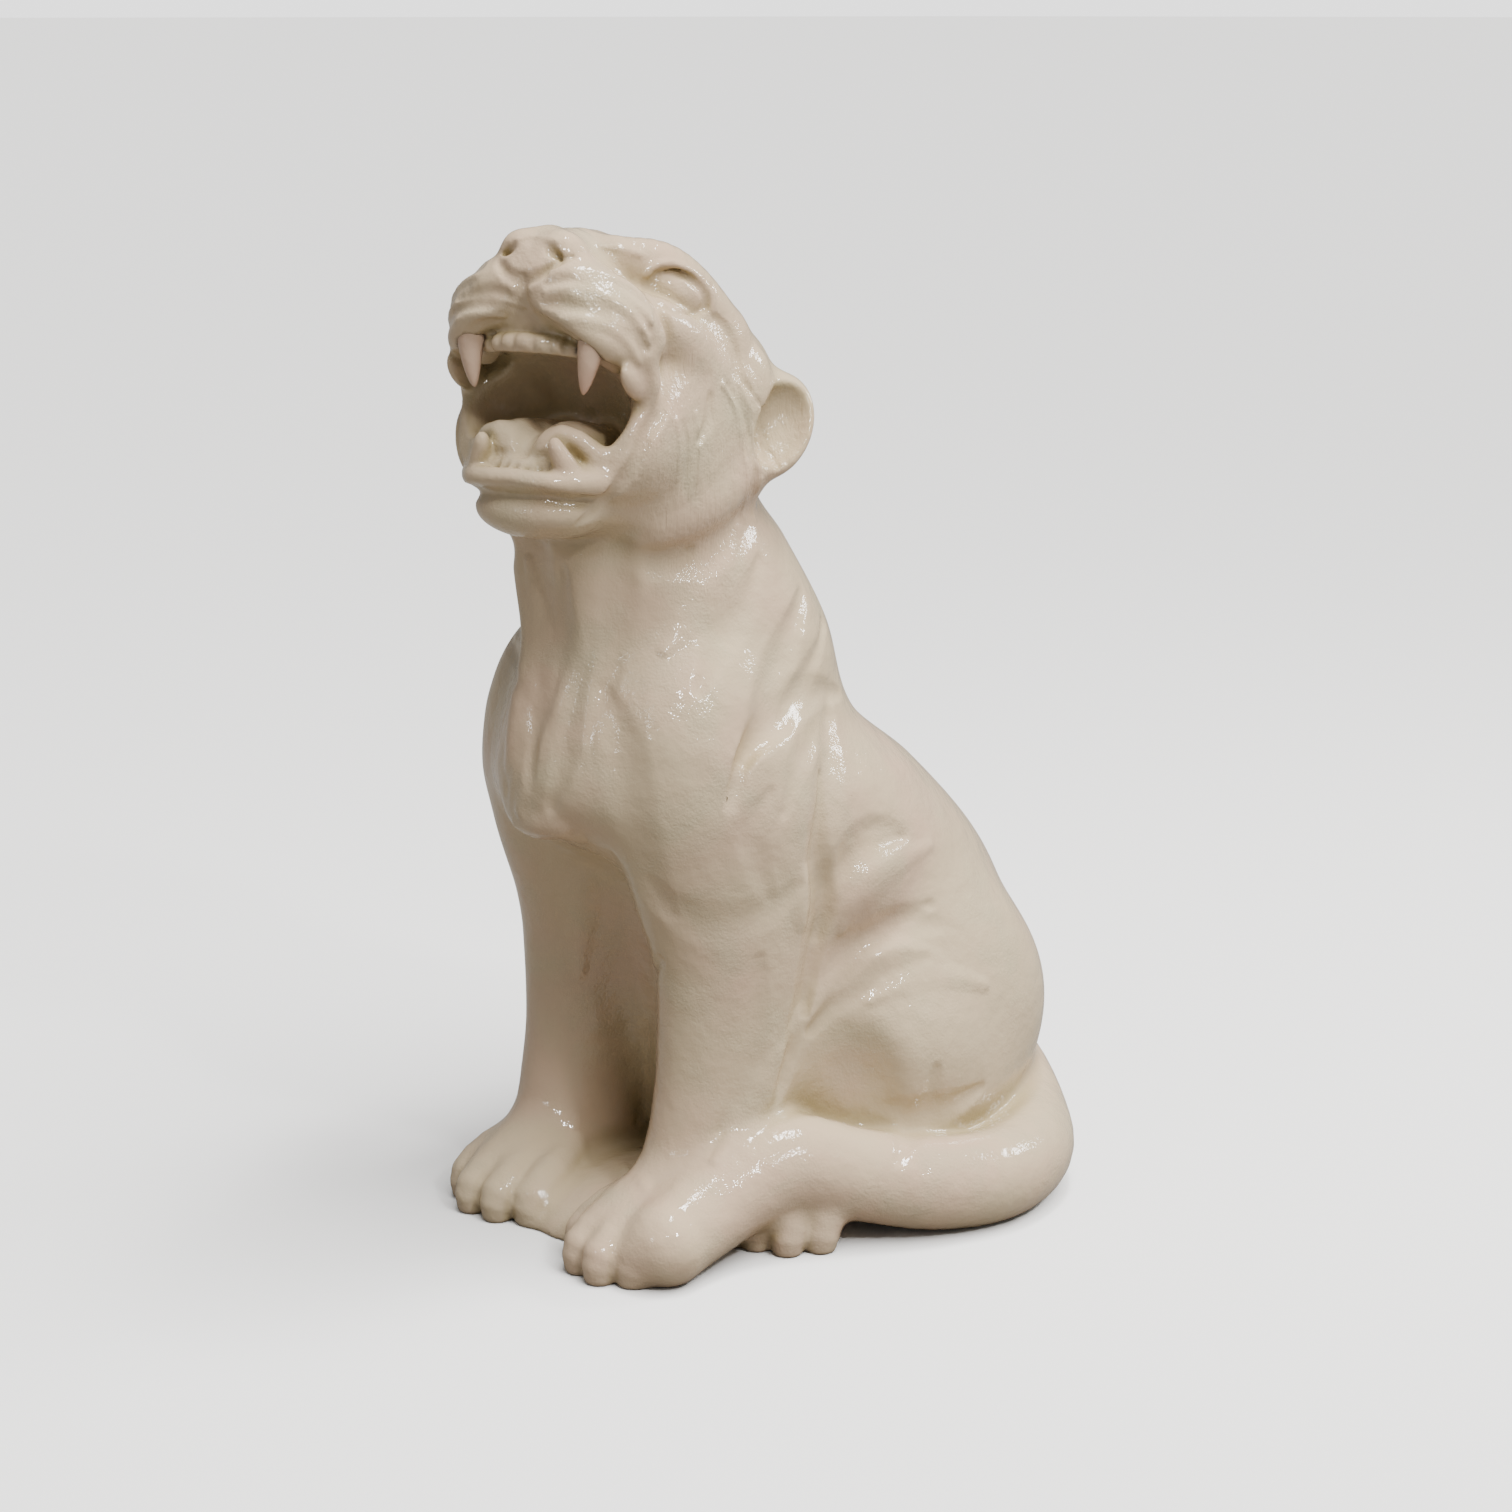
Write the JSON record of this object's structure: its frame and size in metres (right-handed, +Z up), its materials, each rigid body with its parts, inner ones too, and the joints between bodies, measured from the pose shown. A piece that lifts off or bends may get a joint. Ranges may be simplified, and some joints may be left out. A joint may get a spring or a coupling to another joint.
{
  "type": "ceramic panther figure",
  "caption": "Large seated panther figure in glossy cream-white glazed ceramic, head turned and raised in a roar, tail curled round to the front paw.",
  "frame": {"origin": "centre of the flat underside, on the surface the figure stands on", "axes": "+Z up; the figure's body faces -Y and its left side is +X"},
  "size_m": [0.4617, 0.5974, 0.86],
  "materials": {
    "panther_body": "clear gloss glaze over cream-white body",
    "fang_left": "clear gloss glaze, slightly pink",
    "fang_right": "clear gloss glaze, slightly pink"
  },
  "bodies": {
    "root": {"panther_body": "panther_body", "fang_left": "fang_left", "fang_right": "fang_right"}
  },
  "joints": []
}
